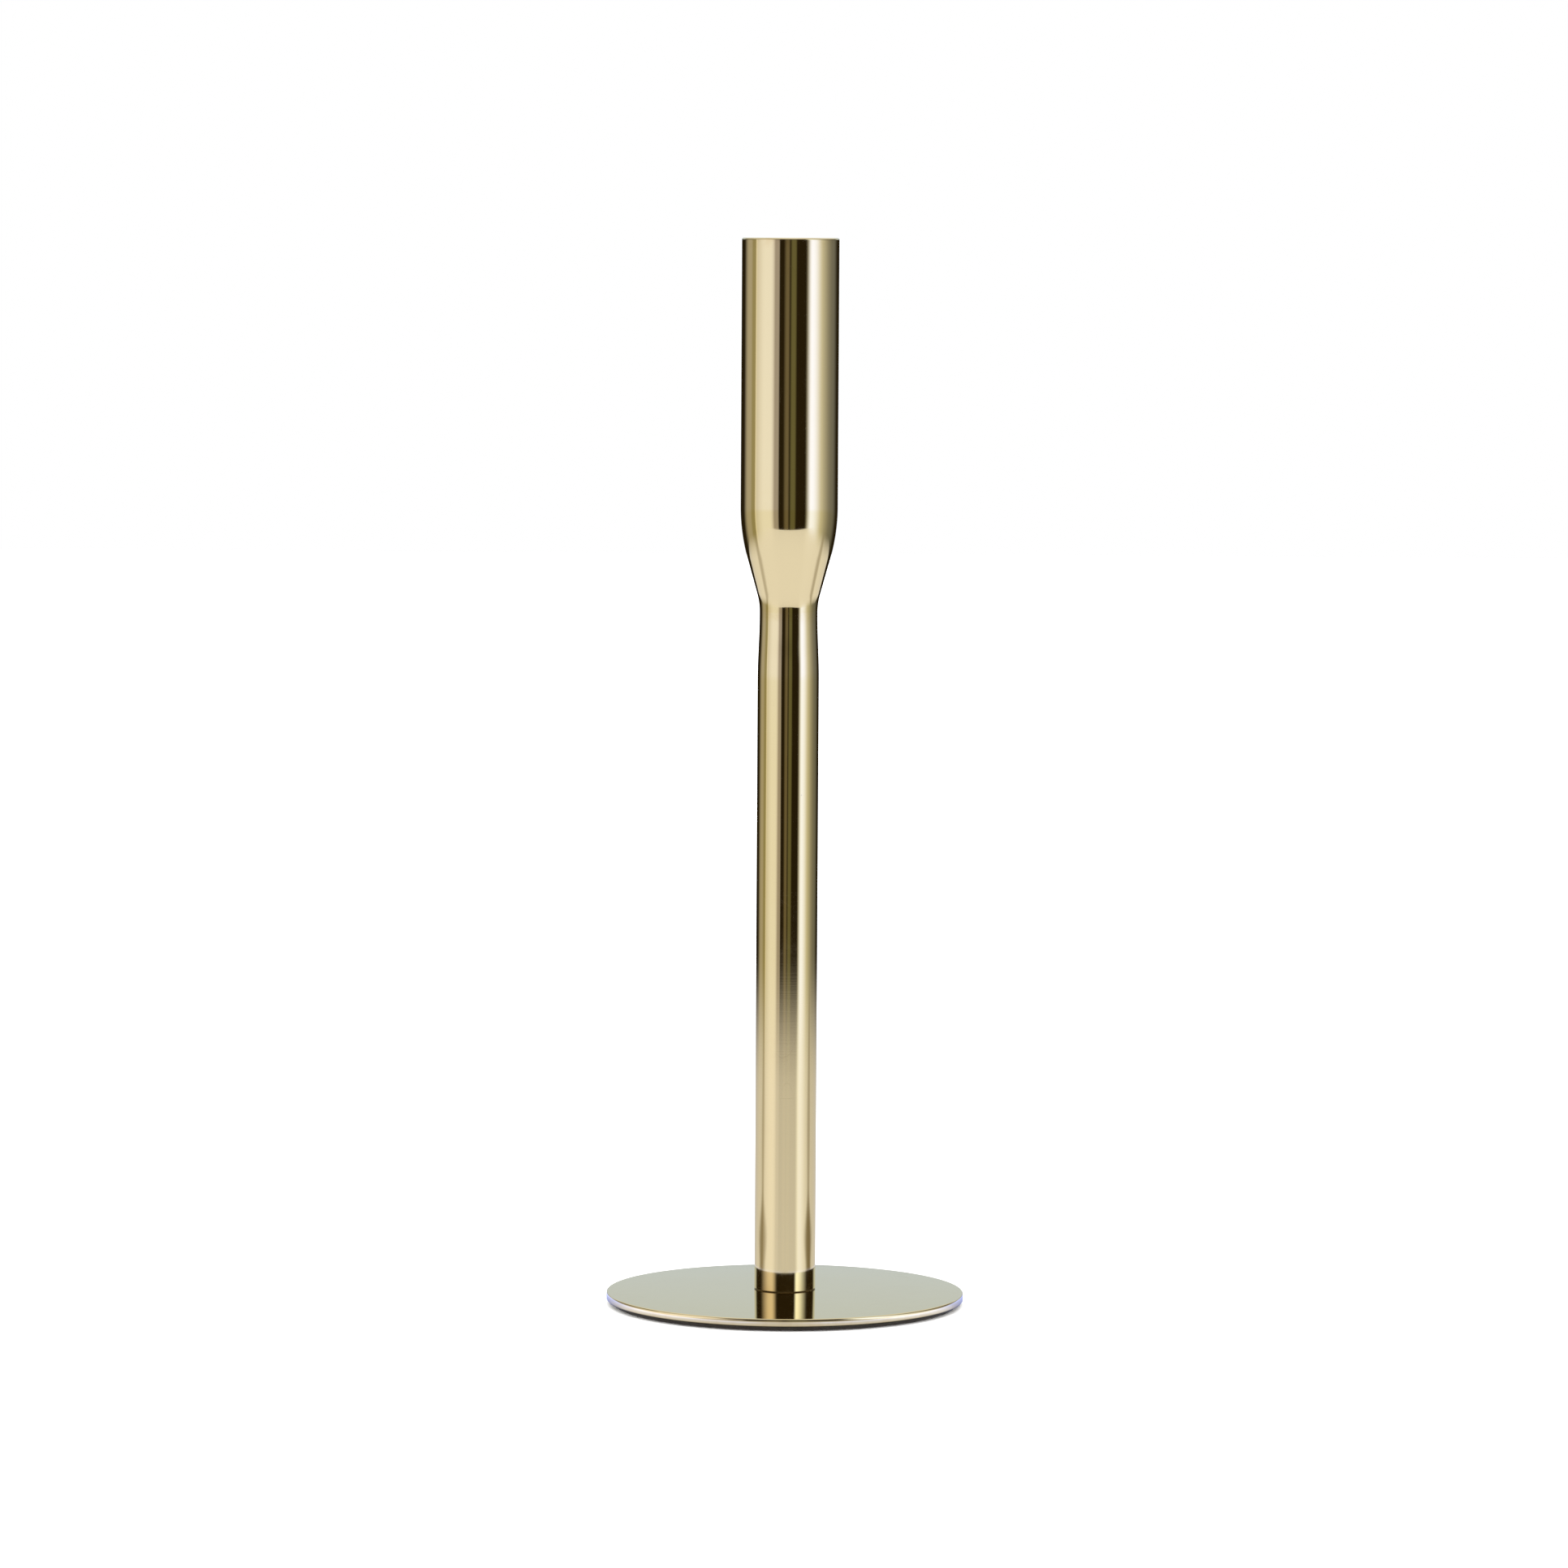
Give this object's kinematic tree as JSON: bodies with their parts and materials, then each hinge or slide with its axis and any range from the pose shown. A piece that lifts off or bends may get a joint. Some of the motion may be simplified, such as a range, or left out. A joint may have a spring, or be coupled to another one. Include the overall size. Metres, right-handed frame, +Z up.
{
  "type": "candlestick",
  "caption": "Tall slender brass candlestick with a thin round base, a plain tube stem, and a straight open socket for one dinner candle.",
  "frame": {"origin": "centre of the felt's underside, on the surface that the candlestick stands on", "axes": "+Z up along the axis of the stem and socket; the shape is round, so X and Y are free"},
  "size_m": [0.1, 0.1, 0.298],
  "materials": {
    "polished_brass": "mirror polished and lacquered pale brass",
    "turned_brass": "plain turned brass, unpolished, hidden inside",
    "zinc_steel": "bright zinc plated steel",
    "felt": "dense black felt"
  },
  "bodies": {
    "root": {"socket_shell": "polished_brass", "candle_seat": "polished_brass", "neck_bush_upper": "turned_brass", "neck_bush_lower": "turned_brass", "neck_stud": "zinc_steel", "stem_tube": "polished_brass", "foot_bush": "turned_brass", "base_disc": "polished_brass", "base_screw": "zinc_steel", "felt_pad": "felt"}
  },
  "joints": []
}
